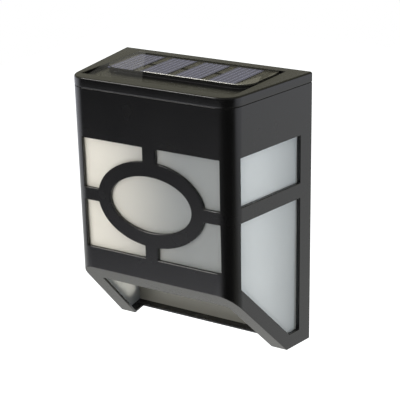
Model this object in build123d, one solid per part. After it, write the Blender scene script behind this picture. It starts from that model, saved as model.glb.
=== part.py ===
from build123d import *
from math import hypot
import os

# Wall light with a solar head, in millimetres. +X is the viewer's right, the front faces -Y and the wall is
# the plane Y = 0. Heights are measured up from the light's bottom edge while the pieces are drawn, and every
# finished piece is then lowered so that the origin lies on the wall, midway between the two hanging holes.

# Shell: a trapezoid in plan, wider at the wall, with rounded front corners and sides that lean in downwards
HEIGHT = 135.0
DEPTH = 59.0
FRONT_WIDTH = 87.7
BACK_WIDTH = 105.2
DRAFT = 1.0
CORNER_RADIUS = 9.8
WALL = 1.9
LID_RIM_HEIGHT = 4.8

# Slanted open underside and the frame around its mouth
SLANT_RISE = 41.2
SLANT_RUN = 41.2
FRAME_THICKNESS = 1.2
FRAME_FLANGE = 8.6
FRAME_FRONT_STRIP = 9.0

# Front lattice: four panes round an open oval ring
PANE_HALF_WIDTH = 37.65
PANE_BOTTOM = 52.0
PANE_TOP_BAND = 28.7
RING_HOLE_WIDTH = 45.0
RING_HOLE_HEIGHT = 27.4
RING_BAND = 7.0
UPRIGHT_BAR = 7.2
CROSS_BAR = 6.2
CROSS_BAR_DROP = 27.5

# Side windows
SIDE_WINDOW_FRONT = 7.4
SIDE_WINDOW_BACK = 8.6
SIDE_TOP_BAND = 28.6
SIDE_UPPER_HEIGHT = 23.3
SIDE_BAR = 7.6
SIDE_LOWER_SILL = 7.7
SIDE_SLANT_BAND = 6.7

# Hanging holes in the back wall
HOLE_DROP = 23.0
HOLE_SPACING = 50.0
HOLE_RADIUS = 4.25
HOLE_NECK_WIDTH = 4.4
HOLE_NECK_RISE = 6.5

# Frosted liner
LINER_WALL = 1.0
LINER_GAP_TOP = 0.15
LINER_GAP_BOTTOM = 0.9
LINER_TOP_GAP = 0.5
LINER_BACK_GAP = 1.8

# Lid
SKIRT_DEPTH = 5.7
SKIRT_WALL = 1.6
SKIRT_FIT = 0.25
DECK = 2.0
RIM_BEVEL = 0.6
SEAM_CHAMFER = 0.25
RECESS_SIDE = 2.35
RECESS_FRONT = 7.2
RECESS_BACK = 5.4
RECESS_DEPTH = 1.6

# Solar panel
PANEL_END_GAP = 1.5
PANEL_WIDTH = 31.0
PANEL_BACK_GAP = 1.3
PANEL_RADIUS = 9.0
PANEL_BACK_RADIUS = 3.0
ADHESIVE = 0.4
BOARD = 0.8
CELL_COUNT = 4
CELL_LENGTH = 14.2
CELL_PITCH = 18.4
CELL_MARGIN = 1.4
CELL_ROW_SHIFT = 3.0
CELL_THICKNESS = 0.2
RIBBON_WIDTH = 1.6
RIBBON_THICKNESS = 0.12
RESIN = 1.0
RESIN_ROUND = 0.35
LEAD_RADIUS = 0.65
LEAD_HOLE_RADIUS = 1.0
LEAD_SPACING = 3.0
LEAD_X = 14.0
LEAD_EDGE = 1.5

# Protective film left on one end of the panel
FILM = 0.15
FILM_TOE_GAP = 2.1
FILM_BACK_LENGTH = 4.0
FILM_FRONT_LENGTH = 31.3

# Tray under the lid
TRAY_DEPTH = 23.8
TRAY_INSET = 3.95
TRAY_BACK = 8.0
TRAY_WALL = 1.6
TRAY_SCREW_FRONT = 10.5
TRAY_SCREW_FRONT_SIDE = 10.6
TRAY_SCREW_BACK = 15.0
TRAY_SCREW_DOOR_GAP = 0.1
SCREW_BOSS_RADIUS = 3.0

# Screws
SCREW_RADIUS = 1.35
SCREW_PILOT_GAP = 0.05
SCREW_HOLE_GAP = 0.25
SCREW_HEAD_RADIUS = 2.6
SCREW_HEAD_HEIGHT = 1.7
SCREW_GRIP = 8.0
SMALL_SCREW_RADIUS = 1.0
SMALL_SCREW_HEAD_RADIUS = 2.0
SMALL_SCREW_HEAD_HEIGHT = 1.2
SMALL_SCREW_GRIP = 5.0

# Battery and its bay
BATTERY_RADIUS = 7.25
BATTERY_LENGTH = 50.5
BATTERY_CAP_RADIUS = 2.75
BATTERY_CAP_LENGTH = 1.0
BATTERY_SIDE_GAP = 0.5
BATTERY_REST_GAP = 0.3
BAY_WALL = 1.2
BAY_WALL_HEIGHT = 11.0
CONTACT_SHEET = 0.4
CONTACT_WIDTH = 9.0
CONTACT_HEIGHT = 12.5
CONTACT_GAP = 0.05
SPRING_LENGTH = 4.6
SPRING_RADIUS = 3.2
SPRING_WIRE = 0.3
SPRING_TURNS = 4
WIRE_FACES = 8

# Battery door
DOOR_PLATE = 0.8
DOOR_PAD = 0.7
DOOR_LEDGE = 1.0
DOOR_GAP = 0.25
DOOR_SCREW_END = 8.6

# Circuit board, lamps and switch
PCB_END_GAP = 0.6
PCB_FRONT_GAP = 1.95
PCB_BACK_GAP = 4.2
PCB_THICKNESS = 1.6
PCB_POST_RADIUS = 2.4
PCB_SCREW_EDGE = 4.0
LED_SPACING = 36.0
LED_RADIUS = 2.5
LED_FLANGE_RADIUS = 2.9
LED_FLANGE_HEIGHT = 1.0
LED_LENGTH = 8.6
LED_STANDOFF = 0.6
LED_SHOW = 1.5
LED_HOLE_GAP = 0.3
LED_LEG = 0.5
LED_LEG_SPACING = 2.54
SWITCH_LENGTH = 8.6
SWITCH_WIDTH = 3.8
SWITCH_HEIGHT = 3.5
SWITCH_TRAVEL = 2.0
KNOB_LENGTH = 3.0
KNOB_WIDTH = 2.2
KNOB_SHOW = 0.6
KNOB_GAP = 0.3
KNOB_ROOT = 1.3
KNOB_ROOT_GAP = 0.2
CHIP_WIDTH = 5.2
CHIP_DEPTH = 2.2
CHIP_HEIGHT = 4.0
COIL_RADIUS = 1.8
COIL_LENGTH = 7.0
PART_LEG_RADIUS = 0.3
PART_LEG_LENGTH = 1.5
PART_SPREAD = 9.0
WIRE_RISE = 2.5
WIRE_BEND = 2.0
WIRE_LANDING = 4.0

SPARE = 1.0
SEAM = HEIGHT - LID_RIM_HEIGHT
FLARE = (BACK_WIDTH - FRONT_WIDTH) / 2 / DEPTH
RECESS_FLOOR = HEIGHT - RECESS_DEPTH
DECK_UNDER = RECESS_FLOOR - DECK
HOLE_HEIGHT = HEIGHT - HOLE_DROP
PANE_TOP = HEIGHT - PANE_TOP_BAND
CROSS_BAR_HEIGHT = PANE_TOP - CROSS_BAR_DROP
SIDE_WINDOW_TOP = HEIGHT - SIDE_TOP_BAND
SIDE_UPPER_SILL = SIDE_WINDOW_TOP - SIDE_UPPER_HEIGHT
SIDE_LOWER_TOP = SIDE_UPPER_SILL - SIDE_BAR
TRAY_BOTTOM = DECK_UNDER - TRAY_DEPTH
TRAY_FLOOR = TRAY_BOTTOM + TRAY_WALL
PCB_BOTTOM = TRAY_BOTTOM - LED_SHOW + LED_LENGTH + LED_STANDOFF
PCB_TOP = PCB_BOTTOM + PCB_THICKNESS
BATTERY_Y = -TRAY_BACK - TRAY_WALL - BATTERY_SIDE_GAP - BATTERY_RADIUS
BATTERY_Z = TRAY_FLOOR + BATTERY_REST_GAP + BATTERY_RADIUS
BAY_RIGHT = BATTERY_LENGTH / 2 + CONTACT_GAP + CONTACT_SHEET
BAY_LEFT = -BATTERY_LENGTH / 2 - SPRING_LENGTH - 2 * CONTACT_GAP - CONTACT_SHEET
BAY_FRONT = BATTERY_Y - BATTERY_RADIUS - BATTERY_SIDE_GAP
BAY_BACK = -TRAY_BACK - TRAY_WALL
PCB_FRONT = -DEPTH + TRAY_INSET + TRAY_WALL + PCB_FRONT_GAP
PCB_BACK = BAY_FRONT - BAY_WALL - PCB_BACK_GAP
PCB_WIDTH = PCB_BACK - PCB_FRONT
PCB_Y = (PCB_FRONT + PCB_BACK) / 2
RECESS_WIDTH = FRONT_WIDTH - 2 * RECESS_SIDE
PANEL_LENGTH = RECESS_WIDTH - 2 * PANEL_END_GAP
BOARD_BOTTOM = RECESS_FLOOR + ADHESIVE
BOARD_TOP = BOARD_BOTTOM + BOARD
PANEL_TOP = BOARD_TOP + RESIN
PANEL_Y = -RECESS_BACK - PANEL_BACK_GAP - PANEL_WIDTH / 2
DOOR_RIGHT = BAY_RIGHT + DOOR_LEDGE + DOOR_SCREW_END
DOOR_SCREW_X = DOOR_RIGHT - DOOR_SCREW_END / 2


def half_width(y, z):
    """Half the shell's outside width at depth y and height z."""
    return FRONT_WIDTH / 2 + FLARE * (y + DEPTH) - DRAFT * (1 - z / HEIGHT)


def tray_screw_places():
    """Where the four screws join the tray to the lid."""
    front, back = -DEPTH + TRAY_SCREW_FRONT, -TRAY_SCREW_BACK
    front_x = half_width(front, TRAY_BOTTOM) - TRAY_SCREW_FRONT_SIDE
    back_x = DOOR_RIGHT + TRAY_SCREW_DOOR_GAP + SCREW_HEAD_RADIUS
    return [(-front_x, front), (front_x, front), (-back_x, back), (back_x, back)]


def plan_corners(z, side, front, back):
    """The corners of the shell's plan at height z, moved in by side, front and back."""
    slope = hypot(1, FLARE)
    y_front, y_back = -DEPTH + front, -back
    x_front = half_width(y_front, z) - side * slope
    x_back = half_width(y_back, z) - side * slope
    return [(-x_front, y_front, z), (x_front, y_front, z), (x_back, y_back, z), (-x_back, y_back, z)]


def flat_sided(low, high):
    """A solid with flat sides between two four-cornered outlines."""
    sides = [(low[n], low[n - 1], high[n - 1], high[n]) for n in range(len(low))]
    return Solid(Shell([Face(Wire.make_polygon(corners)) for corners in (low, high, *sides)]))


def shell_block(z_low, z_high, inset_low, inset_high, back=None):
    """A solid that follows the shell's plan between two heights, moved in from the outside."""
    back_low = inset_low if back is None else back
    back_high = inset_high if back is None else back
    low = plan_corners(z_low, inset_low, inset_low, back_low)
    high = plan_corners(z_high, inset_high, inset_high, back_high)
    body = flat_sided(low, high)
    uprights = body.edges().group_by(Axis.Z)[1]
    front_uprights = uprights.sort_by(Axis.Y)[:2]
    return fillet(front_uprights, CORNER_RADIUS - min(inset_low, inset_high))


def slant_reach(lift):
    """How far the slanted plane has moved, as a share of its run, when raised by lift."""
    return 1 + lift * hypot(1 / SLANT_RUN, 1 / SLANT_RISE)


def in_front_of_wall(shape):
    """The shape with everything beyond the wall plane cut away."""
    keep = Box(2 * BACK_WIDTH, DEPTH + SPARE, HEIGHT + SPARE, align=(Align.CENTER, Align.MAX, Align.MIN))
    return shape & keep


def below_slant(lift):
    """Everything below the slanted underside when that plane is raised by lift."""
    reach = slant_reach(lift)
    corners = [
        (-DEPTH - SPARE, -SPARE),
        (-DEPTH - SPARE, SLANT_RISE * (reach + SPARE / SLANT_RUN)),
        (-DEPTH + SLANT_RUN * (reach + SPARE / SLANT_RISE), -SPARE),
    ]
    return extrude(Plane.YZ * Polygon(*corners, align=None), BACK_WIDTH, both=True)


def front_panes():
    """The lattice's open areas: four panes outside the ring and the oval inside it."""
    width, height = 2 * PANE_HALF_WIDTH, PANE_TOP - PANE_BOTTOM
    middle = (PANE_TOP + PANE_BOTTOM) / 2
    panes = Pos(0, middle) * Rectangle(width, height)
    panes -= Pos(0, middle) * Rectangle(UPRIGHT_BAR, height)
    panes -= Pos(0, CROSS_BAR_HEIGHT) * Rectangle(width, CROSS_BAR)
    half_wide, half_high = RING_HOLE_WIDTH / 2, RING_HOLE_HEIGHT / 2
    panes -= Pos(0, CROSS_BAR_HEIGHT) * Ellipse(half_wide + RING_BAND, half_high + RING_BAND)
    panes += Pos(0, CROSS_BAR_HEIGHT) * Ellipse(half_wide, half_high)
    return extrude(Plane.XZ.offset(DEPTH - WALL - SPARE / 2) * panes, WALL + SPARE)


def side_windows():
    """Upper and lower window of both side walls; the lower one follows the slanted underside."""
    front, back = -DEPTH + SIDE_WINDOW_FRONT, -SIDE_WINDOW_BACK
    reach = slant_reach(SIDE_SLANT_BAND)
    slant_front = SLANT_RISE * (reach - SIDE_WINDOW_FRONT / SLANT_RUN)
    slant_end = -DEPTH + SLANT_RUN * (reach - SIDE_LOWER_SILL / SLANT_RISE)
    upper = [
        (front, SIDE_UPPER_SILL),
        (back, SIDE_UPPER_SILL),
        (back, SIDE_WINDOW_TOP),
        (front, SIDE_WINDOW_TOP),
    ]
    lower = [
        (front, slant_front),
        (slant_end, SIDE_LOWER_SILL),
        (back, SIDE_LOWER_SILL),
        (back, SIDE_LOWER_TOP),
        (front, SIDE_LOWER_TOP),
    ]
    windows = Polygon(*upper, align=None) + Polygon(*lower, align=None)
    return extrude(Plane.YZ * windows, BACK_WIDTH, both=True)


def hanging_holes():
    """Two keyholes: a round entry for the screw's head and a narrow neck above it."""
    holes = Sketch()
    for side in (-1, 1):
        entry = Circle(HOLE_RADIUS)
        neck = Pos(0, HOLE_NECK_RISE / 2) * Rectangle(HOLE_NECK_WIDTH, HOLE_NECK_RISE)
        seat = Pos(0, HOLE_NECK_RISE) * Circle(HOLE_NECK_WIDTH / 2)
        holes += Pos(side * HOLE_SPACING / 2, HOLE_HEIGHT) * (entry + neck + seat)
    return extrude(Plane.XZ.offset(-SPARE) * holes, WALL + 2 * SPARE)


def housing():
    """Moulded shell: front lattice, windowed sides, back wall and the frame of the slanted mouth."""
    shell = shell_block(0, SEAM, 0, 0, -SPARE)
    shell = chamfer(shell.faces().sort_by(Axis.Z)[-1].edges(), SEAM_CHAMFER)
    shell = in_front_of_wall(shell) - below_slant(0)
    shell -= shell_block(FRAME_THICKNESS, SEAM + SPARE, WALL, WALL) - below_slant(FRAME_THICKNESS)
    mouth_low = plan_corners(-SPARE, FRAME_FLANGE, FRAME_FRONT_STRIP, FRAME_FLANGE)
    mouth_high = plan_corners(SLANT_RISE, FRAME_FLANGE, FRAME_FRONT_STRIP, FRAME_FLANGE)
    shell -= flat_sided(mouth_low, mouth_high)
    return shell - front_panes() - side_windows() - hanging_holes()


def diffuser_liner():
    """Open-ended frosted box inside the shell, cut to stand on the frame of the mouth."""
    top = SEAM - SKIRT_DEPTH - LINER_TOP_GAP
    low = WALL + LINER_GAP_BOTTOM
    high = WALL + LINER_GAP_TOP
    liner = shell_block(FRAME_THICKNESS, top, low, high)
    core = shell_block(FRAME_THICKNESS - SPARE, top + SPARE, low + LINER_WALL, high + LINER_WALL)
    back_top = HOLE_HEIGHT - HOLE_RADIUS - LINER_BACK_GAP
    back_cut_depth = WALL + LINER_GAP_BOTTOM + 2 * LINER_WALL
    notch = Box(BACK_WIDTH, back_cut_depth, top - back_top + SPARE, align=(Align.CENTER, Align.MAX, Align.MIN))
    return liner - core - below_slant(FRAME_THICKNESS) - Pos(0, 0, back_top) * notch


def recess_block(depth_above):
    """The panel's rectangular recess in the lid, as a solid that reaches above the rim."""
    length = DEPTH - RECESS_FRONT - RECESS_BACK
    block = Box(RECESS_WIDTH, length, RECESS_DEPTH + depth_above, align=(Align.CENTER, Align.MAX, Align.MIN))
    return Pos(0, -RECESS_BACK, RECESS_FLOOR) * block


def lead_places():
    """Where the panel's two leads pass through the lid."""
    return [(LEAD_X + side * LEAD_SPACING / 2, PCB_BACK - LEAD_EDGE) for side in (-1, 1)]


def upright(places, radius, z_low, z_high):
    """Round uprights at several places."""
    post = Cylinder(radius, z_high - z_low, align=(Align.CENTER, Align.CENTER, Align.MIN))
    return [Pos(x, y, z_low) * post for x, y in places]


def lid():
    """Cap with the panel's recess on top, a skirt that plugs into the shell and screw bosses below."""
    cap = shell_block(SEAM, HEIGHT, 0, 0, -SPARE)
    cap = chamfer(cap.faces().sort_by(Axis.Z)[0].edges(), SEAM_CHAMFER)
    cap = chamfer(cap.faces().sort_by(Axis.Z)[-1].edges(), RIM_BEVEL)
    cap = in_front_of_wall(cap)
    skirt_inset = WALL + SKIRT_FIT
    cap += shell_block(SEAM - SKIRT_DEPTH, SEAM + SPARE, skirt_inset, skirt_inset)
    hollow = skirt_inset + SKIRT_WALL
    cap -= shell_block(SEAM - SKIRT_DEPTH - SPARE, DECK_UNDER, hollow, hollow)
    cap -= recess_block(SPARE)
    cap += upright(tray_screw_places(), SCREW_BOSS_RADIUS, TRAY_FLOOR, DECK_UNDER)
    pilot = SCREW_RADIUS + SCREW_PILOT_GAP
    cap -= upright(tray_screw_places(), pilot, TRAY_FLOOR - SPARE, TRAY_FLOOR + SCREW_GRIP)
    return cap - upright(lead_places(), LEAD_HOLE_RADIUS, DECK_UNDER - SPARE, RECESS_FLOOR + SPARE)


def panel_block(z_low, thickness):
    """A layer with the solar panel's outline: larger front corners, smaller back ones."""
    outline = Rectangle(PANEL_LENGTH, PANEL_WIDTH)
    outline = fillet(outline.vertices().group_by(Axis.Y)[0], PANEL_RADIUS)
    outline = fillet(outline.vertices().group_by(Axis.Y)[-1], PANEL_BACK_RADIUS)
    return Pos(0, PANEL_Y, z_low) * extrude(outline, thickness)


def panel_adhesive():
    """Foam sheet that sticks the panel into the recess, cut away round the leads."""
    return panel_block(RECESS_FLOOR, ADHESIVE) - upright(
        lead_places(), LEAD_HOLE_RADIUS, RECESS_FLOOR - SPARE, BOARD_BOTTOM + SPARE
    )


def panel_board():
    """Stiff board that carries the cells."""
    return panel_block(BOARD_BOTTOM, BOARD)


def cell_places():
    """Middle of each cell; the row sits a little nearer the panel's left end."""
    first = -(CELL_COUNT - 1) * CELL_PITCH / 2 - CELL_ROW_SHIFT
    return [first + number * CELL_PITCH for number in range(CELL_COUNT)]


def solar_cells():
    """Dark cells laid side by side on the board."""
    depth = PANEL_WIDTH - 2 * CELL_MARGIN
    cell = Box(CELL_LENGTH, depth, CELL_THICKNESS, align=(Align.CENTER, Align.CENTER, Align.MIN))
    return [Pos(x, PANEL_Y, BOARD_TOP) * cell for x in cell_places()]


def cell_ribbons():
    """Tinned ribbons that bridge the gaps between neighbouring cells."""
    gap = CELL_PITCH - CELL_LENGTH
    ribbon = Box(gap, RIBBON_WIDTH, RIBBON_THICKNESS, align=(Align.CENTER, Align.CENTER, Align.MIN))
    return [Pos(x + CELL_PITCH / 2, PANEL_Y, BOARD_TOP) * ribbon for x in cell_places()[:-1]]


def panel_resin():
    """Clear resin poured over the cells."""
    resin = panel_block(BOARD_TOP, RESIN)
    resin = fillet(resin.faces().sort_by(Axis.Z)[-1].edges(), RESIN_ROUND)
    return resin - solar_cells() - cell_ribbons()


def panel_film():
    """Film still stuck on the panel's left end; past the front edge it slopes down to the recess."""
    left = -PANEL_LENGTH / 2
    back = PANEL_Y + PANEL_WIDTH / 2
    front = PANEL_Y - PANEL_WIDTH / 2
    toe = -DEPTH + RECESS_FRONT + FILM_TOE_GAP
    profile = Polygon(
        (back, PANEL_TOP),
        (back, PANEL_TOP + FILM),
        (front, PANEL_TOP + FILM),
        (toe, RECESS_FLOOR + FILM),
        (toe, RECESS_FLOOR),
        (front, PANEL_TOP),
        align=None,
    )
    sheet = extrude(Plane.YZ * profile, PANEL_LENGTH, both=True)
    back_right, toe_right = left + FILM_BACK_LENGTH, left + FILM_FRONT_LENGTH
    outline = Polygon((left, back), (left, toe), (toe_right, toe), (back_right, back), align=None)
    return sheet & extrude(outline, HEIGHT + SPARE)


def block(x_low, x_high, y_low, y_high, z_low, z_high):
    """A box between two corners."""
    box = Box(x_high - x_low, y_high - y_low, z_high - z_low, align=(Align.MIN, Align.MIN, Align.MIN))
    return Pos(x_low, y_low, z_low) * box


def led_places():
    """Where the two lamps look down through the tray's floor."""
    return [(side * LED_SPACING / 2, PCB_Y) for side in (-1, 1)]


def circuit_board_length():
    """The board fits between the lid's two front screw bosses."""
    boss_x = tray_screw_places()[1][0]
    return 2 * (boss_x - SCREW_BOSS_RADIUS - PCB_END_GAP)


def board_screw_places():
    """Where the circuit board is screwed to its posts."""
    board_length = circuit_board_length()
    return [(side * (board_length / 2 - PCB_SCREW_EDGE), PCB_Y) for side in (-1, 1)]


def battery_bay():
    """Walls on the tray's floor at both ends and the front of the battery."""
    top = TRAY_FLOOR + BAY_WALL_HEIGHT
    walls = block(BAY_LEFT - BAY_WALL, BAY_RIGHT + BAY_WALL, BAY_FRONT - BAY_WALL, BAY_BACK, TRAY_FLOOR, top)
    return walls - block(BAY_LEFT, BAY_RIGHT, BAY_FRONT, BAY_BACK, TRAY_FLOOR - SPARE, top + SPARE)


def door_recess(gap, z_low, z_high):
    """The battery door's plate, or the recess it lies in, with a wider end for its screw."""
    left, right = BAY_LEFT - DOOR_LEDGE + gap, DOOR_RIGHT - gap
    return block(left, right, BAY_FRONT - DOOR_LEDGE + gap, BAY_BACK + DOOR_LEDGE - gap, z_low, z_high)


def tray():
    """Shallow box under the lid that holds the battery, the circuit board and the lamps."""
    box = shell_block(TRAY_BOTTOM, DECK_UNDER, TRAY_INSET, TRAY_INSET, TRAY_BACK)
    inner = TRAY_INSET + TRAY_WALL
    box -= shell_block(TRAY_FLOOR, DECK_UNDER + SPARE, inner, inner, TRAY_BACK + TRAY_WALL)
    box += battery_bay()
    box += upright(board_screw_places(), PCB_POST_RADIUS, TRAY_FLOOR, PCB_BOTTOM)
    box += upright([(DOOR_SCREW_X, BATTERY_Y)], PCB_POST_RADIUS, TRAY_FLOOR, TRAY_FLOOR + SMALL_SCREW_GRIP)
    box -= block(BAY_LEFT, BAY_RIGHT, BAY_FRONT, BAY_BACK, TRAY_BOTTOM - SPARE, TRAY_FLOOR + SPARE)
    box -= door_recess(0, TRAY_BOTTOM - SPARE, TRAY_BOTTOM + DOOR_PLATE)
    pilot = SMALL_SCREW_RADIUS + SCREW_PILOT_GAP
    box -= upright([(DOOR_SCREW_X, BATTERY_Y)], pilot, TRAY_BOTTOM, TRAY_FLOOR + SMALL_SCREW_GRIP)
    box -= upright(board_screw_places(), pilot, PCB_BOTTOM - SMALL_SCREW_GRIP, PCB_BOTTOM + SPARE)
    low, high = TRAY_BOTTOM - SPARE, TRAY_FLOOR + SPARE
    box -= upright(tray_screw_places(), SCREW_RADIUS + SCREW_HOLE_GAP, low, high)
    box -= upright(led_places(), LED_RADIUS + LED_HOLE_GAP, low, high)
    return box - knob_slot(low, high)


def screw(radius, length, head_radius, head_height):
    """Pan-head screw that points up, with its head under Z = 0 and a cross recess below."""
    head = Cylinder(head_radius, head_height, align=(Align.CENTER, Align.CENTER, Align.MAX))
    head = chamfer(head.faces().sort_by(Axis.Z)[0].edges(), head_height / 3)
    slot = Box(head_radius, head_radius / 4, head_height, align=(Align.CENTER, Align.CENTER, Align.MAX))
    recess = Pos(0, 0, -head_height / 2) * (slot + Rot(0, 0, 90) * slot)
    return head + Cylinder(radius, length, align=(Align.CENTER, Align.CENTER, Align.MIN)) - recess


def tray_screws():
    """Four screws that draw the tray up against the lid's bosses."""
    length = TRAY_WALL + SCREW_GRIP - SCREW_HEAD_HEIGHT
    one = screw(SCREW_RADIUS, length, SCREW_HEAD_RADIUS, SCREW_HEAD_HEIGHT)
    return [Pos(x, y, TRAY_BOTTOM) * one for x, y in tray_screw_places()]


def door_screw():
    """The screw that keeps the battery door shut."""
    one = screw(SMALL_SCREW_RADIUS, SMALL_SCREW_GRIP, SMALL_SCREW_HEAD_RADIUS, SMALL_SCREW_HEAD_HEIGHT)
    return Pos(DOOR_SCREW_X, BATTERY_Y, TRAY_BOTTOM) * one


def board_screws():
    """Two screws that hold the circuit board down on its posts."""
    one = screw(SMALL_SCREW_RADIUS, SMALL_SCREW_GRIP, SMALL_SCREW_HEAD_RADIUS, SMALL_SCREW_HEAD_HEIGHT)
    return [Pos(x, y, PCB_TOP) * Rot(180, 0, 0) * one for x, y in board_screw_places()]


def battery_door():
    """Stepped plate that closes the battery bay from below."""
    plate = door_recess(DOOR_GAP, TRAY_BOTTOM, TRAY_BOTTOM + DOOR_PLATE)
    plate += block(
        BAY_LEFT + DOOR_GAP,
        BAY_RIGHT - DOOR_GAP,
        BAY_FRONT + DOOR_GAP,
        BAY_BACK - DOOR_GAP,
        TRAY_BOTTOM + DOOR_PLATE,
        TRAY_BOTTOM + DOOR_PLATE + DOOR_PAD,
    )
    hole = SMALL_SCREW_RADIUS + SCREW_HOLE_GAP
    return plate - upright([(DOOR_SCREW_X, BATTERY_Y)], hole, TRAY_BOTTOM - SPARE, TRAY_FLOOR)


def battery_cell():
    """Rechargeable round cell lying along X, with its raised cap to the right."""
    can_length = BATTERY_LENGTH - BATTERY_CAP_LENGTH
    can = Cylinder(BATTERY_RADIUS, can_length, align=(Align.CENTER, Align.CENTER, Align.MIN))
    can = chamfer(can.edges().filter_by(GeomType.CIRCLE), BATTERY_CAP_LENGTH / 2)
    cap = Cylinder(BATTERY_CAP_RADIUS, BATTERY_CAP_LENGTH, align=(Align.CENTER, Align.CENTER, Align.MIN))
    cell = can + Pos(0, 0, can_length) * cap
    return Pos(-BATTERY_LENGTH / 2, BATTERY_Y, BATTERY_Z) * Rot(0, 90, 0) * cell


def contact_sheet(x_low):
    """Upright metal sheet at one end of the bay."""
    y_low, y_high = BATTERY_Y - CONTACT_WIDTH / 2, BATTERY_Y + CONTACT_WIDTH / 2
    return block(x_low, x_low + CONTACT_SHEET, y_low, y_high, TRAY_FLOOR, TRAY_FLOOR + CONTACT_HEIGHT)


def contact_plate():
    """Contact that the battery's cap touches."""
    return contact_sheet(BAY_RIGHT - CONTACT_SHEET)


def spring_plate():
    """Sheet that backs the spring contact."""
    return contact_sheet(BAY_LEFT)


def contact_spring():
    """Coil spring that presses on the battery's flat end."""
    height = SPRING_LENGTH - 2 * SPRING_WIRE
    path = Helix(pitch=height / SPRING_TURNS, height=height, radius=SPRING_RADIUS)
    section = Plane(origin=path @ 0, z_dir=path % 0) * RegularPolygon(SPRING_WIRE, WIRE_FACES)
    coil = sweep(section, path=path, is_frenet=True)
    start = BAY_LEFT + CONTACT_SHEET + CONTACT_GAP + SPRING_WIRE
    return Pos(start, BATTERY_Y, BATTERY_Z) * Rot(0, 90, 0) * coil


def leg_places():
    """Two legs behind each lamp."""
    shift = LED_LEG_SPACING / 2
    return [(x + side * shift, y) for x, y in led_places() for side in (-1, 1)]


def circuit_board():
    """Board that hangs over the tray's floor on two posts."""
    size = (circuit_board_length(), PCB_WIDTH, PCB_THICKNESS)
    board = Box(*size, align=(Align.CENTER, Align.CENTER, Align.MIN))
    board = Pos(0, PCB_Y, PCB_BOTTOM) * board
    low, high = PCB_BOTTOM - SPARE, PCB_TOP + SPARE
    board -= upright(board_screw_places(), SMALL_SCREW_RADIUS + SCREW_HOLE_GAP, low, high)
    return board - upright(leg_places(), LED_LEG, low, high)


def leds():
    """Two round lamps with domed tips that point down."""
    base = PCB_BOTTOM - LED_STANDOFF
    flange = Cylinder(LED_FLANGE_RADIUS, LED_FLANGE_HEIGHT, align=(Align.CENTER, Align.CENTER, Align.MAX))
    body = Cylinder(LED_RADIUS, LED_LENGTH - LED_RADIUS, align=(Align.CENTER, Align.CENTER, Align.MAX))
    lamp = flange + body + Pos(0, 0, LED_RADIUS - LED_LENGTH) * Sphere(LED_RADIUS)
    return [Pos(x, y, base) * lamp for x, y in led_places()]


def led_legs():
    """Square legs from the lamps up through the circuit board."""
    base = PCB_BOTTOM - LED_STANDOFF
    leg = Box(LED_LEG, LED_LEG, PCB_TOP + SPARE - base, align=(Align.CENTER, Align.CENTER, Align.MIN))
    return [Pos(x, y, base) * leg for x, y in leg_places()]


def knob_slot(z_low, z_high):
    """The slot that the switch's knob slides in."""
    half_length, half_width_y = KNOB_LENGTH / 2 + KNOB_GAP, KNOB_WIDTH / 2 + KNOB_GAP
    y_low, y_high = PCB_Y - half_width_y, PCB_Y + half_width_y
    return block(-half_length, half_length + SWITCH_TRAVEL, y_low, y_high, z_low, z_high)


def switch_body():
    """Slide switch under the circuit board, open below for its knob."""
    bottom = PCB_BOTTOM - SWITCH_HEIGHT
    body = Box(SWITCH_LENGTH, SWITCH_WIDTH, SWITCH_HEIGHT, align=(Align.CENTER, Align.CENTER, Align.MIN))
    body = Pos(SWITCH_TRAVEL / 2, PCB_Y, bottom) * body
    return body - knob_slot(bottom - SPARE, bottom + KNOB_ROOT + KNOB_ROOT_GAP)


def switch_slider():
    """Knob that reaches down through the tray's floor."""
    top = PCB_BOTTOM - SWITCH_HEIGHT + KNOB_ROOT
    bottom = TRAY_BOTTOM - KNOB_SHOW
    knob = Box(KNOB_LENGTH, KNOB_WIDTH, top - bottom, align=(Align.CENTER, Align.CENTER, Align.MIN))
    knob = Pos(0, PCB_Y, bottom) * knob
    return chamfer(knob.faces().sort_by(Axis.Z)[0].edges(), KNOB_SHOW / 2)


def driver_chip():
    """Small four-legged driver standing on the board, rounded at the back."""
    outline = Rectangle(CHIP_WIDTH, CHIP_DEPTH)
    outline = fillet(outline.vertices().group_by(Axis.Y)[-1], CHIP_DEPTH / 2 - PART_LEG_RADIUS)
    body = Pos(0, 0, PART_LEG_LENGTH) * extrude(outline, CHIP_HEIGHT)
    pitch = CHIP_WIDTH / 4
    for number in range(4):
        leg = Cylinder(PART_LEG_RADIUS, PART_LEG_LENGTH, align=(Align.CENTER, Align.CENTER, Align.MIN))
        body += Pos((number - 1.5) * pitch, 0, 0) * leg
    return Pos(-PART_SPREAD, PCB_Y, PCB_TOP) * body


def inductor():
    """Barrel-shaped coil lying on the board between its two legs."""
    barrel = Rot(0, 90, 0) * Cylinder(COIL_RADIUS, COIL_LENGTH)
    barrel = chamfer(barrel.edges().filter_by(GeomType.CIRCLE), COIL_RADIUS / 2)
    height = COIL_RADIUS + PART_LEG_RADIUS
    reach = COIL_LENGTH / 2 + PART_LEG_LENGTH
    wire = Rot(0, 90, 0) * Cylinder(PART_LEG_RADIUS, 2 * (reach + PART_LEG_RADIUS))
    part = Pos(0, 0, height) * (barrel + wire)
    for side in (-1, 1):
        leg = Cylinder(PART_LEG_RADIUS, height, align=(Align.CENTER, Align.CENTER, Align.MIN))
        part += Pos(side * reach, 0, 0) * leg
    return Pos(PART_SPREAD, PCB_Y, PCB_TOP) * part


def panel_leads():
    """Two straight leads from the solar panel down to the circuit board."""
    return upright(lead_places(), LEAD_RADIUS, PCB_TOP, BOARD_BOTTOM)


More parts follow.
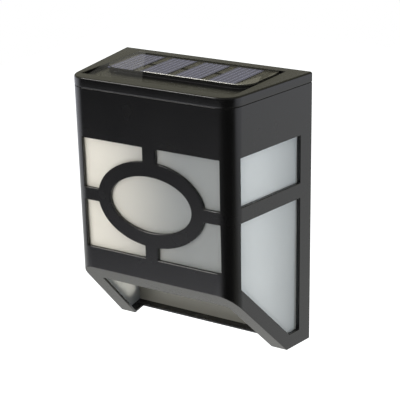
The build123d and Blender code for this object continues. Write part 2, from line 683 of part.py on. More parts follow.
def battery_leads():
    """A lead from each battery contact, over the bay's front wall and down to the board."""
    start = TRAY_FLOOR + CONTACT_HEIGHT
    top = max(start, BATTERY_Z + BATTERY_RADIUS) + WIRE_RISE
    landing = PCB_BACK - WIRE_LANDING
    points = [(BATTERY_Y, start), (BATTERY_Y, top), (landing, top), (landing, PCB_TOP)]
    leads = []
    for x in (BAY_LEFT + CONTACT_SHEET / 2, BAY_RIGHT - CONTACT_SHEET / 2):
        path = FilletPolyline([(x, y, z) for y, z in points], radius=WIRE_BEND)
        section = Plane(origin=path @ 0, z_dir=path % 0) * RegularPolygon(LEAD_RADIUS, WIRE_FACES)
        leads.append(sweep(section, path=path))
    return leads


PIECES = [
    housing,
    diffuser_liner,
    lid,
    panel_adhesive,
    panel_board,
    solar_cells,
    cell_ribbons,
    panel_resin,
    panel_film,
    tray,
    tray_screws,
    battery_door,
    door_screw,
    battery_cell,
    contact_plate,
    spring_plate,
    contact_spring,
    circuit_board,
    board_screws,
    leds,
    led_legs,
    switch_body,
    switch_slider,
    driver_chip,
    inductor,
    panel_leads,
    battery_leads,
]

os.makedirs("parts", exist_ok=True)
for piece in PIECES:
    made = piece()
    shape = Compound(children=made) if isinstance(made, list) else made
    export_step(Pos(0, 0, -HOLE_HEIGHT) * shape, f"parts/{piece.__name__}.step")
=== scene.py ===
from math import cos, pi, radians, sin

import bmesh
import bpy
from bpy.props import FloatProperty, FloatVectorProperty, IntProperty, PointerProperty
from bpy.types import Operator, Panel, PropertyGroup
from mathutils import Matrix, Vector


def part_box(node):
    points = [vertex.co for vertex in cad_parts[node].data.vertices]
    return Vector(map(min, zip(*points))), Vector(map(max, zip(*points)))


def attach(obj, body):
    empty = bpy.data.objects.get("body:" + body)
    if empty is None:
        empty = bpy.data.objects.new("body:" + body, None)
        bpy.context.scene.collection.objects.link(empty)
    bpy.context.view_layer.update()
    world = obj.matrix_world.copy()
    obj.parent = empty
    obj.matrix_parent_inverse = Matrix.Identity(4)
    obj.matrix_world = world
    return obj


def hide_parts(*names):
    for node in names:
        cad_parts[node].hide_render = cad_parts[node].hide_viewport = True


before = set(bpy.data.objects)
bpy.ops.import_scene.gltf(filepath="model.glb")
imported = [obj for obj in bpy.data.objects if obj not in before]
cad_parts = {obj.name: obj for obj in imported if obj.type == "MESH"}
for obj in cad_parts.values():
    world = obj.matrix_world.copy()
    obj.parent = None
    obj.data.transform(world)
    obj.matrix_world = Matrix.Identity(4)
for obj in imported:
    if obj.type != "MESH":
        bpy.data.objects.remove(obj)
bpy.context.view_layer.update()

bl_info = {
    "name": "Solar fence light",
    "version": (1, 0, 0),
    "blender": (4, 5, 0),
    "location": "3D View > Sidebar > Fence light",
    "description": "Finishes and fine pieces of a solar fence light, with its stage and camera",
    "category": "Object",
}

# Mesh work: the least turn between two faces that makes their edge sharp, the
# most between two that lie in one plane, and how near two corners that touch are.
SHARP = radians(28.0)
FLAT = radians(0.6)
TOUCHING = 0.000002

# What the CAD model's panel and film have, and their boxes don't say: the cells
# in the row, the radius of the resin's corners and the film's width at the back.
CELL_COUNT = 4
RESIN_CORNER = 0.009
FILM_BACK_WIDTH = 0.004

# The photograph's viewpoint: heading, tilt and roll in degrees, place in metres.
CAMERA_TURN = (32.91873733, -19.63177155, -1.30211149)
CAMERA_PLACE = (0.357682, -0.569088, 0.191067)
SENSOR_WIDTH = 36.0

# The lamps: name, place, size, colour, and whether glossy surfaces mirror them.
LAMPS = (
    ("key", (0.08, -0.66, 0.10), 0.6, (1.0, 0.975, 0.93), False),
    ("side", (0.75, -0.15, 0.20), 0.5, (0.93, 0.97, 1.0), False),
    ("left", (-0.60, 0.02, 0.10), 0.4, (1.0, 0.98, 0.94), False),
    ("top", (-0.41, -0.30, 0.62), 0.25, (1.0, 0.98, 0.94), True),
    ("back", (0.05, 0.25, 0.75), 0.4, (0.98, 0.98, 1.0), False),
)

# Colours that no setting changes; the near black on the panel's sides is painted shade of the gap
# under its edge, on the board partly its own dark edge.
WHITE = (1.0, 1.0, 1.0, 1.0)
BLACK = (0.0, 0.0, 0.0, 1.0)
SIDE_SHADE = (0.004, 0.004, 0.004, 1.0)


# ---------------------------------------------------------------- node trees

class Socket:
    """An output socket; Python's operators on it add Math nodes."""

    def __init__(self, tree, socket):
        self.tree = tree
        self.socket = socket

    def maths(self, operation, *others):
        """A Math node on this number and the others."""
        values = (self, *others)
        return self.tree.node("ShaderNodeMath", {"operation": operation}, dict(enumerate(values)))

    def __add__(self, other):
        return self.maths("ADD", other)

    def __sub__(self, other):
        return self.maths("SUBTRACT", other)

    def __rsub__(self, other):
        return -self + other

    def __mul__(self, other):
        return self.maths("MULTIPLY", other)

    def __neg__(self):
        return self * -1.0

    def __abs__(self):
        return self.maths("ABSOLUTE")

    __radd__ = __add__
    __rmul__ = __mul__

    def larger(self, other):
        return self.maths("MAXIMUM", other)

    def ramp(self, low, high):
        """0 at low, 1 at high and smooth between, whichever of the two is larger."""
        settings = {"interpolation_type": "SMOOTHSTEP"}
        return self.tree.node("ShaderNodeMapRange", settings, {0: self, 1: low, 2: high})


class Tree:
    """A node tree and the one method that adds nodes to it."""

    def __init__(self, tree):
        self.tree = tree
        self.tree.nodes.clear()

    def node(self, kind, settings=None, values=None, out=0):
        """Adds a node, sets its settings, fills its inputs and returns one output."""
        node = self.tree.nodes.new(kind)
        for name, value in (settings or {}).items():
            setattr(node, name, value)
        for key, value in (values or {}).items():
            if isinstance(value, Socket):
                self.tree.links.new(value.socket, node.inputs[key])
            else:
                node.inputs[key].default_value = value
        return Socket(self, node.outputs[out]) if node.outputs else node

    def split(self, vector):
        """The three parts of a vector."""
        parts = self.node("ShaderNodeSeparateXYZ", None, {0: vector}).socket.node
        return [Socket(self, parts.outputs[axis]) for axis in "XYZ"]

    def place(self):
        """The object's own coordinates, in metres."""
        return self.split(self.node("ShaderNodeTexCoord", out="Object"))

    def facing(self):
        """The surface's own direction."""
        return self.split(self.node("ShaderNodeTexCoord", out="Normal"))

    def noise(self, scale, detail=2.0):
        """Soft noise on the object's own coordinates, from 0 to 1."""
        where = self.node("ShaderNodeTexCoord", out="Object")
        values = {"Vector": where, "Scale": scale, "Detail": detail}
        return self.node("ShaderNodeTexNoise", None, values)

    def varied(self, low, high, scale, detail=2.0):
        """A number that drifts from low to high with soft noise."""
        return self.noise(scale, detail) * (high - low) + low

    def blend(self, factor, low, high):
        """Mixes two colours."""
        values = {0: factor, 6: low, 7: high}
        return self.node("ShaderNodeMix", {"data_type": "RGBA"}, values, out=2)

    def shaded(self, tint, tone):
        """A colour times a number."""
        grey = self.node("ShaderNodeCombineColor", None, {0: tone, 1: tone, 2: tone})
        settings = {"data_type": "RGBA", "blend_type": "MULTIPLY"}
        return self.node("ShaderNodeMix", settings, {0: 1.0, 6: tint, 7: grey}, out=2)

    def bump(self, height, strength, distance):
        """The surface's direction, made rough by a height."""
        values = {"Height": height, "Strength": strength, "Distance": distance}
        return self.node("ShaderNodeBump", None, values)


def finish(name, through=None, **inputs):
    """A material; inputs may be numbers, colours or functions of its tree.

    through is the colour and share of light that shines through a thin wall.
    """
    material = bpy.data.materials.new(name)
    material.use_nodes = True
    tree = Tree(material.node_tree)
    values = {}
    for key, value in inputs.items():
        values[key.replace("_", " ")] = value(tree) if callable(value) else value
    surface = tree.node("ShaderNodeBsdfPrincipled", None, values)
    if through:
        tint, amount = through
        glow = tree.node("ShaderNodeBsdfTranslucent", None, {"Color": rgba(tint)})
        surface = tree.node("ShaderNodeMixShader", None, {0: amount, 1: surface, 2: glow})
    tree.node("ShaderNodeOutputMaterial", None, {"Surface": surface})
    return material


def rgba(tint):
    """A colour with its alpha, as sockets take it."""
    return (*tint[:3], 1.0)


def dress(node, material):
    """Gives a CAD node its finish."""
    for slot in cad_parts[node].material_slots:
        slot.material = material


# ---------------------------------------------------------------- settings

def colour(name, description, default):
    return FloatVectorProperty(name=name, description=description, default=default,
                               subtype="COLOR", size=3, min=0.0, max=1.0)


def length(name, description, default):
    return FloatProperty(name=name, description=description, default=default,
                         subtype="DISTANCE", unit="LENGTH", min=0.0)


def share(name, description, default):
    return FloatProperty(name=name, description=description, default=default,
                         subtype="FACTOR", min=0.0, max=1.0)


def power(name, description, default):
    return FloatProperty(name=name, description=description, default=default,
                         unit="POWER", min=0.0)


class FENCELIGHT_PG_shell(PropertyGroup):
    black: colour("Black", "Colour of the moulded shell, lid and tray", (0.0012, 0.0012, 0.0013))
    dusty: colour("Dusty black", "Colour where the black plastic is a little worn",
                  (0.0022, 0.0022, 0.0022))
    roughness: share("Roughness", "Roughness of the black plastic", 0.27)
    chamfer: length("Chamfer", "Width of the chamfers on the shell's sharp edges", 0.00022)
    grain: length("Grain", "Size of the mould's fine grain", 0.0005)
    grain_depth: length("Grain depth", "Depth of the mould's fine grain", 0.000012)


class FENCELIGHT_PG_liner(PropertyGroup):
    # The front's warm left and cool right are painted light: lit at the left, shaded at the right.
    lit_front: colour("Warm front", "Colour of the front wall near the left", (0.82, 0.80, 0.745))
    shaded_front: colour("Cool front", "Colour of the front wall near the right", (0.275, 0.295, 0.31))
    # The side walls are lit near the front and carry painted shade towards the back.
    side: colour("Side wall", "Colour of the side walls near the front", (0.82, 0.87, 0.92))
    shade: colour("Shaded side wall", "Colour of the side walls near the back", (0.50, 0.54, 0.58))
    # The back wall's dark colour is painted shade.
    back: colour("Back wall", "Colour of the back wall, in front of the black shell",
                 (0.245, 0.245, 0.225))
    glow: colour("Glow", "Colour of the light that shines through the liner", (0.85, 0.84, 0.80))
    glow_share: share("Glow share", "How much light shines through the liner", 0.55)
    roughness: share("Roughness", "Roughness of the frosted plastic", 0.5)


class FENCELIGHT_PG_solar(PropertyGroup):
    cell: colour("Cell", "Colour of the solar cells", (0.040, 0.042, 0.095))
    board: colour("Board", "Colour of the board beside the cells", (0.055, 0.051, 0.042))
    silver: colour("Printed silver", "Colour of the cells' printed lines",
                   (0.175, 0.180, 0.265))
    ribbon: colour("Ribbon", "Colour of the tinned ribbons between the cells",
                   (0.30, 0.30, 0.30))
    tape: colour("Foam tape", "Colour of the foam tape under the board", (0.02, 0.02, 0.02))
    resin: colour("Resin", "Colour of the clear resin over the cells", (0.16, 0.16, 0.13))
    # The resin's pale edge colour and its width paint a highlight along the front edge.
    resin_highlight: colour("Resin edge", "Colour of the resin's frosted edge",
                       (0.60, 0.60, 0.55))
    resin_haze: share("Resin haze", "How little the resin lets through", 0.08)
    resin_highlight_width: length("Resin edge width", "Width of the resin's frosted edge", 0.0004)
    finger_pitch: length("Finger pitch", "Distance between the cells' printed lines", 0.0026)
    finger_width: length("Finger width", "Width of the cells' printed lines", 0.0006)
    finger_height: length("Finger height", "Thickness of the cells' printed lines", 0.00003)
    cell_lift: length("Cell lift", "How far the cells reach into the resin over them",
                      0.00002)


class FENCELIGHT_PG_film(PropertyGroup):
    haze: colour("Haze", "Colour of the protective film", (0.52, 0.52, 0.50))
    haze_amount: share("Haze amount", "How little the film lets through", 0.045)
    ripple: length("Ripple", "Height of the film's shallow ripples", 0.00008)
    thickness: length("Thickness", "Thickness of the film", 0.0001)
    clearance: length("Clearance", "Gap between the film and the resin", 0.00002)
    steps: IntProperty(name="Steps", description="Steps along each edge of the film",
                       default=40, min=8, max=120)


class FENCELIGHT_PG_metal(PropertyGroup):
    steel: colour("Steel", "Colour of the screws and the switch's case", (0.42, 0.42, 0.43))
    plating: colour("Plating", "Colour of the battery contacts and the lamps' legs",
                    (0.66, 0.66, 0.64))


class FENCELIGHT_PG_electronics(PropertyGroup):
    battery: colour("Battery", "Colour of the battery's jacket", (0.05, 0.22, 0.08))
    board: colour("Circuit board", "Colour of the circuit board", (0.02, 0.12, 0.04))
    lamps: colour("Lamps", "Colour of the lamps' clear bodies", (0.8, 0.8, 0.72))
    chip: colour("Chip", "Colour of the driver chip", (0.015, 0.015, 0.015))
    coil: colour("Coil", "Colour of the inductor", (0.05, 0.18, 0.10))
    leads: colour("Leads", "Colour of the leads' jackets", (0.25, 0.015, 0.012))


class FENCELIGHT_PG_stage(PropertyGroup):
    floor: colour("Floor", "Colour of the floor", (0.84, 0.86, 0.90))
    floor_drop: length("Floor drop", "How far the floor lies below the hanging holes", 0.9)
    lens: FloatProperty(name="Lens", description="Focal length of the camera",
                        default=129.4853, unit="CAMERA")
    key_power: power("Key light", "Power of the soft light at the front", 5.9)
    side_power: power("Side light", "Power of the soft light at the right", 3.6)
    left_power: power("Left light", "Power of the soft light at the left", 3.9)
    top_power: power("Top light", "Power of the lamp that the edges mirror", 2.1)
    back_power: power("Back light", "Power of the soft light above the back", 2.5)


# ---------------------------------------------------------------- finishes

def black_plastic(look, name, depth=1.0):
    """Black moulded plastic: fine grain, cloudy gloss and faint dust."""
    spread = 0.015

    def base(tree):
        worn = tree.noise(scale=35.0, detail=3.0).ramp(0.25, 0.85)
        return tree.blend(worn, rgba(look.black), rgba(look.dusty))

    def roughness(tree):
        return tree.varied(look.roughness - spread, look.roughness + spread, scale=70.0)

    def normal(tree):
        grain = tree.noise(scale=1.0 / look.grain)
        return tree.bump(grain, strength=0.25 * depth, distance=look.grain_depth)

    return finish(name, Base_Color=base, Roughness=roughness, Normal=normal)


def frosted_plastic(look):
    """Frosted white plastic with painted light: lit and warm at the front's left, shaded and cool
    at its right, and painted shade on the back wall and towards the back of the side walls.
    """
    # Where the painted light and shade change: across the front, along the side walls and onto the
    # back wall.
    lit_until, dimmed_from = -0.038, 0.020
    bright_until, shaded_from = -0.040, -0.004
    front_until, back_from = -0.020, -0.010

    def base(tree):
        x, y, _ = tree.place()
        # Painted light across the front; painted shade on the back wall and towards the back of
        # the side walls.
        front = tree.blend(x.ramp(lit_until, dimmed_from), rgba(look.lit_front), rgba(look.shaded_front))
        ends = tree.blend(y.ramp(front_until, back_from), front, rgba(look.back))
        sides = tree.blend(y.ramp(bright_until, shaded_from), rgba(look.side), rgba(look.shade))
        sideways = abs(tree.facing()[0]).ramp(0.6, 0.8)
        tone = tree.varied(0.97, 1.03, scale=160.0, detail=4.0)
        return tree.shaded(tree.blend(sideways, ends, sides), tone)

    def normal(tree):
        return tree.bump(tree.noise(scale=1800.0), strength=0.2, distance=0.00003)

    return finish("frosted_liner", (look.glow, look.glow_share), Base_Color=base,
                  Roughness=look.roughness, Normal=normal)


def solar_cell(look):
    """Blue-violet cell, a little cloudy, under the resin's gloss."""
    def base(tree):
        return tree.shaded(rgba(look.cell), tree.varied(0.7, 1.3, scale=120.0, detail=3.0))

    def roughness(tree):
        return tree.varied(0.15, 0.25, scale=400.0)

    return finish("solar_cell", Base_Color=base, Roughness=roughness)


def plain(name, tint, roughness, metallic=0.0, **more):
    """A finish with fine grain, whose tint and gloss vary a little."""
    grain, clouds = 900.0, 180.0
    darkest = 0.75
    spread = 0.075

    def base(tree):
        dark = tuple(channel * darkest for channel in tint)
        return tree.blend(tree.noise(clouds, detail=3.0), rgba(dark), rgba(tint))

    def rough(tree):
        return tree.varied(roughness - spread, roughness + spread, scale=grain)

    def normal(tree):
        return tree.bump(tree.noise(grain), strength=0.15, distance=0.00002)

    return finish(name, Base_Color=base, Roughness=rough, Metallic=metallic, Normal=normal, **more)


def panel_board(look):
    """Brownish board whose sides are painted near black: partly its own dark edge, partly painted
    shade of the gap under the panel.
    """
    def base(tree):
        top = tree.shaded(rgba(look.board), tree.varied(0.75, 1.25, scale=90.0, detail=3.0))
        # The sides are painted near black: partly the board's dark edge, partly painted shade of
        # the gap under the panel.
        return tree.blend(tree.facing()[2].ramp(0.2, 0.6), SIDE_SHADE, top)

    def roughness(tree):
        return tree.varied(0.30, 0.45, scale=300.0)

    return finish("panel_board", Base_Color=base, Roughness=roughness, Coat_Weight=1.0,
                  Coat_Roughness=0.04)


def clear_resin(look):
    """Clear cast resin with a painted highlight: a pale line along its front edge.

    The highlight follows the rounded corners. It fades out under the film, towards
    the back and round the right end. The resin's sides are painted near black as
    painted shade of the gap under the panel's edge.
    """
    low, high = (Vector(corner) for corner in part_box("panel_resin"))
    middle, half = (low + high) / 2, (high - low) / 2
    radius, width = RESIN_CORNER, look.resin_highlight_width
    film_reach, film_fade = 0.0235, 0.001
    film_end = low.x + film_reach
    clear_until, highlight_from = high.y - 0.004, high.y - 0.012
    highlight_share, side_share = 0.6, 0.9

    # The mask of the painted highlight along the front edge.
    def edge(tree):
        x, y, _ = tree.place()
        along = (abs(x - middle.x) - (half.x - radius)).larger(0.0)
        across = ((middle.y - y) - (half.y - radius)).larger(0.0)
        reach = (along * along + across * across).maths("SQRT")
        rim = reach.ramp(radius - width, radius - width / 2)
        bare = x.ramp(film_end, film_end + film_fade)
        front = y.ramp(clear_until, highlight_from)
        return rim * bare * front * x.ramp(high.x, high.x - radius)

    # The mask of the sides, which are painted near black as painted shade of the gap below.
    def side(tree):
        return abs(tree.facing()[2]).ramp(0.35, 0.15)

    def base(tree):
        # Painted highlight along the front edge on top; the sides are painted near black as
        # painted shade.
        top = tree.blend(edge(tree), rgba(look.resin), rgba(look.resin_highlight))
        return tree.blend(side(tree), top, SIDE_SHADE)

    def alpha(tree):
        # The painted highlight and the painted shade on the sides make the resin less clear where
        # they lie.
        return (edge(tree) * highlight_share + look.resin_haze).larger(side(tree) * side_share)

    def roughness(tree):
        return tree.varied(0.05, 0.11, scale=250.0)

    return finish("clear_resin", Base_Color=base, Roughness=roughness, Alpha=alpha)


# ---------------------------------------------------------------- meshes

def piece(name, vertices, faces, material):
    """A new mesh object at the origin."""
    mesh = bpy.data.meshes.new(name)
    mesh.from_pydata(vertices, [], faces)
    mesh.materials.append(material)
    made = bpy.data.objects.new(name, mesh)
    bpy.context.scene.collection.objects.link(made)
    return made


def frozen(made):
    """The object with its modifiers made part of a plain mesh."""
    evaluated = made.evaluated_get(bpy.context.evaluated_depsgraph_get())
    mesh = bpy.data.meshes.new_from_object(evaluated)
    made.modifiers.clear()
    made.data = mesh
    return made


def grown(name, tree_name, build, inputs, material):
    """A mesh grown by a Geometry Nodes tree with named inputs."""
    growth = bpy.data.node_groups.new(tree_name, "GeometryNodeTree")
    growth.interface.new_socket("Geometry", in_out="OUTPUT", socket_type="NodeSocketGeometry")
    for key, value in inputs.items():
        kind = "NodeSocketInt" if isinstance(value, int) else "NodeSocketFloat"
        if isinstance(value, tuple):
            kind = "NodeSocketVector"
        growth.interface.new_socket(key, in_out="INPUT", socket_type=kind)
    tree = Tree(growth)
    entry = tree.node("NodeGroupInput").socket.node
    made = build(tree, {key: Socket(tree, entry.outputs[key]) for key in inputs})
    real = tree.node("GeometryNodeRealizeInstances", None, {0: made})
    painted = tree.node("GeometryNodeSetMaterial", None, {"Geometry": real, "Material": material})
    tree.node("NodeGroupOutput", None, {"Geometry": painted})
    base = piece(name, [(0, 0, 0)], [], material)
    modifier = base.modifiers.new(tree_name, "NODES")
    modifier.node_group = growth
    for item in growth.interface.items_tree:
        if item.item_type == "SOCKET" and item.in_out == "INPUT":
            modifier[item.identifier] = inputs[item.name]
    return frozen(base)


def raised(node, name, lift, material):
    """A copy of a CAD node whose top is lifted off the plane that another piece shares."""
    low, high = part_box(node)
    made = piece(name, [], [], material)
    form = bmesh.new()
    form.from_mesh(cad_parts[node].data)
    for vertex in form.verts:
        if vertex.co.z > (low[2] + high[2]) / 2:
            vertex.co.z += lift
    form.to_mesh(made.data)
    form.free()
    return made


def chamfered(node, name, width, material):
    """A copy of a CAD node with its flat faces merged and its sharp edges chamfered."""
    form = bmesh.new()
    form.from_mesh(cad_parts[node].data)
    bmesh.ops.remove_doubles(form, verts=form.verts, dist=TOUCHING)
    bmesh.ops.dissolve_limit(form, angle_limit=FLAT, verts=form.verts, edges=form.edges)
    for face in form.faces:
        face.smooth = True
    made = piece(name, [], [], material)
    form.to_mesh(made.data)
    form.free()
    bevel = made.modifiers.new("edges", "BEVEL")
    bevel.width = width
    bevel.segments = 1
    bevel.limit_method = "ANGLE"
    bevel.angle_limit = SHARP
    bevel.use_clamp_overlap = False
    frozen(made).data.set_sharp_from_angle(angle=SHARP)
    evened = made.modifiers.new("even shading", "WEIGHTED_NORMAL")
    evened.weight = 100
    evened.keep_sharp = True
    return frozen(made)


# ---------------------------------------------------------------- operators

class FENCELIGHT_OT_shell(Operator):
    """Finish the black shell, lid, tray, battery door and switch knob"""
    bl_idname = "fence_light.shell"
    bl_label = "Black shell"

    def execute(self, context):
        look = context.scene.fence_light_shell
        shell = black_plastic(look, "black_shell")
        inner = black_plastic(look, "black_tray", depth=0.6)
        for node, name, body in (("housing", "shell", "housing"), ("lid", "cap", "head")):
            made = chamfered(node, name, look.chamfer, shell)
            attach(made, body)
            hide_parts(node)
        for node in ("tray", "battery_door", "switch_slider"):
            dress(node, inner)
        return {"FINISHED"}


class FENCELIGHT_OT_liner(Operator):
    """Finish the frosted liner behind the windows"""
    bl_idname = "fence_light.liner"
    bl_label = "Frosted liner"

    def execute(self, context):
        dress("diffuser_liner", frosted_plastic(context.scene.fence_light_liner))
        return {"FINISHED"}


class FENCELIGHT_OT_solar(Operator):
    """Finish the solar panel and print the lines on its cells"""
    bl_idname = "fence_light.solar"
    bl_label = "Solar panel"

    def execute(self, context):
        look = context.scene.fence_light_solar
        cells = raised("solar_cells", "cells", look.cell_lift, solar_cell(look))
        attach(cells, "head")
        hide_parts("solar_cells")
        dress("panel_board", panel_board(look))
        dress("panel_adhesive", plain("foam_tape", look.tape, roughness=0.9))
        ribbon = plain("tinned_ribbon", look.ribbon, roughness=0.3, metallic=1.0)
        dress("cell_ribbons", ribbon)
        dress("panel_resin", clear_resin(look))
        silver = plain("printed_silver", look.silver, roughness=0.3)
        low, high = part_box("solar_cells")
        ribbon_low, ribbon_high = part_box("cell_ribbons")
        ribbon_span = ribbon_high[0] - ribbon_low[0]
        cell, pitch = cell_row(high[0] - low[0], ribbon_span, CELL_COUNT)
        middle = (low[1] + high[1]) / 2
        top = high[2] + look.cell_lift
        cover = 0.97
        line_length = (high[1] - low[1]) * cover
        inputs = {
            "Cells": CELL_COUNT,
            "Cell pitch": pitch,
            "First cell": (low[0] + cell / 2, middle, top + look.finger_height / 2),
            "Lines": int(cell / look.finger_pitch),
            "Line pitch": look.finger_pitch,
            "Line size": (look.finger_width, line_length, look.finger_height),
        }
        fingers = grown("cell_fingers", "Printed lines", printed_lines, inputs, silver)
        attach(fingers, "head")
        return {"FINISHED"}


def cell_row(span, inner_span, cells):
    """A cell's length and pitch, from the span of the cells and of their ribbons.

    The ribbons reach from the first cell's end to the start of the last one.
    """
    gap = (inner_span - (span - inner_span) / 2 * (cells - 2)) / (cells - 1)
    cell = (span - (cells - 1) * gap) / cells
    return cell, cell + gap


def printed_lines(tree, given):
    """Lines along each cell's depth, repeated for every cell."""
    block = tree.node("GeometryNodeMeshCube", None, {"Size": given["Line size"]})
    row_start = (given["Lines"] - 1.0) * given["Line pitch"] * -0.5
    first = tree.node("ShaderNodeCombineXYZ", None, {0: row_start})
    step = tree.node("ShaderNodeCombineXYZ", None, {0: given["Line pitch"]})
    offsets = {"mode": "OFFSET"}
    row = tree.node("GeometryNodeMeshLine", offsets,
                    {"Count": given["Lines"], "Start Location": first, "Offset": step})
    lines = tree.node("GeometryNodeInstanceOnPoints", None, {"Points": row, "Instance": block})
    pitch = tree.node("ShaderNodeCombineXYZ", None, {0: given["Cell pitch"]})
    start = given["First cell"]
    cells = tree.node("GeometryNodeMeshLine", offsets,
                      {"Count": given["Cells"], "Start Location": start, "Offset": pitch})
    return tree.node("GeometryNodeInstanceOnPoints", None, {"Points": cells, "Instance": lines})


class FENCELIGHT_OT_film(Operator):
    """Lay the film over the left end of the panel and down to the recess floor"""
    bl_idname = "fence_light.film"
    bl_label = "Protective film"

    def execute(self, context):
        look = context.scene.fence_light_film
        low, high = (Vector(corner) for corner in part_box("panel_film"))
        resin_low, resin_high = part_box("panel_resin")
        edge = resin_low[1]
        top = resin_high[2]
        steps = look.steps
        vertices = []
        for down in range(steps + 1):
            v = down / steps
            y = high.y + (low.y - high.y) * v
            width = FILM_BACK_WIDTH + (high.x - low.x - FILM_BACK_WIDTH) * v
            fall = max(0.0, (edge - y) / (edge - low.y))
            lie = top + (low.z - top) * fall + look.clearance
            for across in range(steps + 1):
                u = across / steps
                z = lie + look.ripple * self.ripples(u, v)
                vertices.append((low.x + width * u, y, z))
        row = steps + 1
        corners = [down * row + across for down in range(steps) for across in range(steps)]
        faces = [(a, a + row, a + row + 1, a + 1) for a in corners]
        film = piece("film_sheet", vertices, faces, self.haze(look, edge))
        wall = film.modifiers.new("wall", "SOLIDIFY")
        wall.thickness = look.thickness
        wall.offset = 1.0
        frozen(film)
        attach(film, "head")
        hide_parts("panel_film")
        return {"FINISHED"}

    def ripples(self, u, v):
        """Slanting waves from 0 to 1 that die out at the film's edges."""
        waves_across, waves_down = 7.0, 4.0
        wave = 0.5 - 0.5 * cos(waves_across * u + waves_down * v)
        return sin(u * pi) * sin(v * pi) * wave

    def haze(self, look, edge):
        """Clear film that hazes most over the cells and least where it falls away."""
        fold = 0.004
        least_share = 0.4
        least = look.haze_amount * least_share

        def base(tree):
            return tree.shaded(rgba(look.haze), tree.varied(0.9, 1.1, scale=60.0))

        def roughness(tree):
            return tree.varied(0.10, 0.20, scale=40.0)

        def alpha(tree):
            over_cells = tree.place()[1].ramp(edge - fold, edge + fold)
            return over_cells * (look.haze_amount - least) + least

        return finish("film", Base_Color=base, Roughness=roughness, Alpha=alpha, IOR=1.08)


class FENCELIGHT_OT_metal(Operator):
    """Finish the screws, contacts, spring and legs"""
    bl_idname = "fence_light.metal"
    bl_label = "Metal pieces"

    def execute(self, context):
        look = context.scene.fence_light_metal
        steel = plain("screw_steel", look.steel, roughness=0.32, metallic=1.0)
        plated = plain("contact_plating", look.plating, roughness=0.25, metallic=1.0)
        for node in ("tray_screws", "door_screw", "board_screws", "switch_body"):
            dress(node, steel)
        for node in ("contact_plate", "spring_plate", "contact_spring", "led_legs"):
            dress(node, plated)
        return {"FINISHED"}


class FENCELIGHT_OT_electronics(Operator):
    """Finish the battery, circuit board, lamps and leads"""
    bl_idname = "fence_light.electronics"
    bl_label = "Battery and electronics"

    def execute(self, context):
        look = context.scene.fence_light_electronics
        jacket = plain("lead_jacket", look.leads, roughness=0.45)
        finishes = {
            "battery_cell": plain("battery_jacket", look.battery, roughness=0.3),
            "circuit_board": plain("circuit_board", look.board, roughness=0.35),
            "leds": plain("lamp_lens", look.lamps, roughness=0.1, Alpha=0.75),
            "driver_chip": plain("chip_black", look.chip, roughness=0.5),
            "inductor": plain("coil_green", look.coil, roughness=0.4),
            "panel_leads": jacket,
            "battery_leads": jacket,
        }
        for node, material in finishes.items():
            dress(node, material)
        return {"FINISHED"}


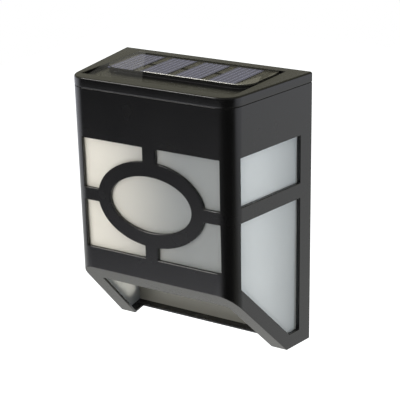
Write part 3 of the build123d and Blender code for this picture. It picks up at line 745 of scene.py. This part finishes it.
class FENCELIGHT_OT_stage(Operator):
    """Set up the floor, the lights and the camera"""
    bl_idname = "fence_light.stage"
    bl_label = "Stage"

    def execute(self, context):
        look = context.scene.fence_light_stage
        scene = context.scene
        scene.view_settings.view_transform = "Standard"
        self.camera(scene, look)
        self.floor(look)
        self.world(scene)
        for name, *lamp in LAMPS:
            self.lamp(scene, f"{name}_light", getattr(look, f"{name}_power"), *lamp)
        return {"FINISHED"}

    def camera(self, scene, look):
        """The photograph's camera."""
        yaw, pitch, roll = (radians(angle) for angle in CAMERA_TURN)
        ahead = Vector((-sin(yaw) * cos(pitch), cos(yaw) * cos(pitch), sin(pitch)))
        level = Vector((cos(yaw), sin(yaw), 0.0))
        rise = level.cross(ahead)
        right = level * cos(roll) + rise * sin(roll)
        up = rise * cos(roll) - level * sin(roll)
        data = bpy.data.cameras.new("camera")
        data.lens = look.lens
        data.sensor_width = SENSOR_WIDTH
        data.clip_start = 0.01
        made = bpy.data.objects.new("camera", data)
        turn = Matrix((right, up, -ahead)).transposed().to_4x4()
        made.matrix_world = Matrix.Translation(CAMERA_PLACE) @ turn
        scene.collection.objects.link(made)
        scene.camera = made

    def floor(self, look):
        """A matte floor, white to the camera, whose far part shows bright in reflections."""
        half_width, front, back = 2.5, -0.6, 3.5
        far_from, far_left_from = (0.1, 1.0), (1.0, 2.0)
        paler, glow_tint = (0.9, 0.9, 0.9, 1.0), (0.95, 0.97, 1.0, 1.0)
        mirrored_share = 0.75
        material = bpy.data.materials.new("pale_floor")
        material.use_nodes = True
        tree = Tree(material.node_tree)
        cloud = tree.blend(tree.noise(scale=6.0, detail=3.0), rgba(look.floor), paler)
        matte = tree.node("ShaderNodeBsdfDiffuse", None, {"Color": cloud})
        paths = tree.node("ShaderNodeLightPath").socket.node
        seen = Socket(tree, paths.outputs["Is Camera Ray"])
        mirrored = Socket(tree, paths.outputs["Is Glossy Ray"])
        x, y, _ = tree.place()
        far = y.ramp(*far_from).larger((-x).ramp(*far_left_from))
        strength = seen + mirrored * far * mirrored_share
        glow = tree.node("ShaderNodeEmission", None, {"Color": glow_tint, "Strength": strength})
        both = tree.node("ShaderNodeAddShader", None, {0: matte, 1: glow})
        tree.node("ShaderNodeOutputMaterial", None, {"Surface": both})
        z = -look.floor_drop
        corners = [(-half_width, front, z), (half_width, front, z),
                   (half_width, back, z), (-half_width, back, z)]
        piece("floor", corners, [(0, 1, 2, 3)], material)

    def world(self, scene):
        """White to the camera, and otherwise a room that lights the object.

        The room is bright at the back and the far left, dim above, and dark in
        front but for a pale table low down at the left. Each pair is where a
        zone starts and where it is full, in the direction that a ray takes.
        """
        behind_from, left_from = (-0.20, 0.10), (0.80, 0.94)
        table_below, table_from = (-0.40, -0.47), (0.30, -0.20)
        above_from = (-0.06, 0.18)
        table_tint, wall_tint = (2.8, 2.8, 2.95, 1.0), (1.15, 1.17, 1.28, 1.0)
        ceiling_tint, back_ceiling_tint = (0.22, 0.22, 0.21, 1.0), (0.34, 0.33, 0.25, 1.0)
        world = bpy.data.worlds.new("studio")
        world.use_nodes = True
        tree = Tree(world.node_tree)
        x, y, z = tree.split(tree.node("ShaderNodeTexCoord", out="Generated"))
        behind = y.ramp(*behind_from).larger((-x).ramp(*left_from))
        table = z.ramp(*table_below) * x.ramp(*table_from)
        level = tree.blend(behind, tree.blend(table, BLACK, table_tint), wall_tint)
        above = tree.blend(behind, ceiling_tint, back_ceiling_tint)
        tone = tree.blend(z.ramp(*above_from), level, above)
        seen = tree.node("ShaderNodeLightPath", out="Is Camera Ray")
        shown = tree.blend(seen, tone, WHITE)
        sky = tree.node("ShaderNodeBackground", None, {"Color": shown, "Strength": 1.0})
        tree.node("ShaderNodeOutputWorld", None, {"Surface": sky})
        scene.world = world

    def lamp(self, scene, name, energy, place, size, tint, mirrored):
        """A soft square light that points at the fence light."""
        data = bpy.data.lights.new(name, "AREA")
        data.energy = energy
        data.size = size
        data.color = tint
        made = bpy.data.objects.new(name, data)
        made.location = place
        made.rotation_euler = (-Vector(place)).to_track_quat("-Z", "Y").to_euler()
        made.visible_glossy = mirrored
        made.visible_camera = False
        scene.collection.objects.link(made)


class FENCELIGHT_PT_sidebar(Panel):
    """Lists the light's pieces in the sidebar"""
    bl_idname = "FENCELIGHT_PT_sidebar"
    bl_label = "Fence light"
    bl_space_type = "VIEW_3D"
    bl_region_type = "UI"
    bl_category = "Fence light"

    def draw(self, context):
        for operator in OPERATORS:
            self.layout.operator(operator.bl_idname)


GROUPS = {
    "fence_light_shell": FENCELIGHT_PG_shell,
    "fence_light_liner": FENCELIGHT_PG_liner,
    "fence_light_solar": FENCELIGHT_PG_solar,
    "fence_light_film": FENCELIGHT_PG_film,
    "fence_light_metal": FENCELIGHT_PG_metal,
    "fence_light_electronics": FENCELIGHT_PG_electronics,
    "fence_light_stage": FENCELIGHT_PG_stage,
}
OPERATORS = (
    FENCELIGHT_OT_shell,
    FENCELIGHT_OT_liner,
    FENCELIGHT_OT_solar,
    FENCELIGHT_OT_film,
    FENCELIGHT_OT_metal,
    FENCELIGHT_OT_electronics,
    FENCELIGHT_OT_stage,
)


def register():
    for name, kind in GROUPS.items():
        bpy.utils.register_class(kind)
        setattr(bpy.types.Scene, name, PointerProperty(type=kind))
    for kind in (*OPERATORS, FENCELIGHT_PT_sidebar):
        bpy.utils.register_class(kind)


def unregister():
    for kind in reversed((*OPERATORS, FENCELIGHT_PT_sidebar)):
        bpy.utils.unregister_class(kind)
    for name, kind in reversed(GROUPS.items()):
        delattr(bpy.types.Scene, name)
        bpy.utils.unregister_class(kind)


def main():
    register()
    for operator in OPERATORS:
        area, name = operator.bl_idname.split(".")
        getattr(getattr(bpy.ops, area), name)()


if __name__ == "__main__":
    main()
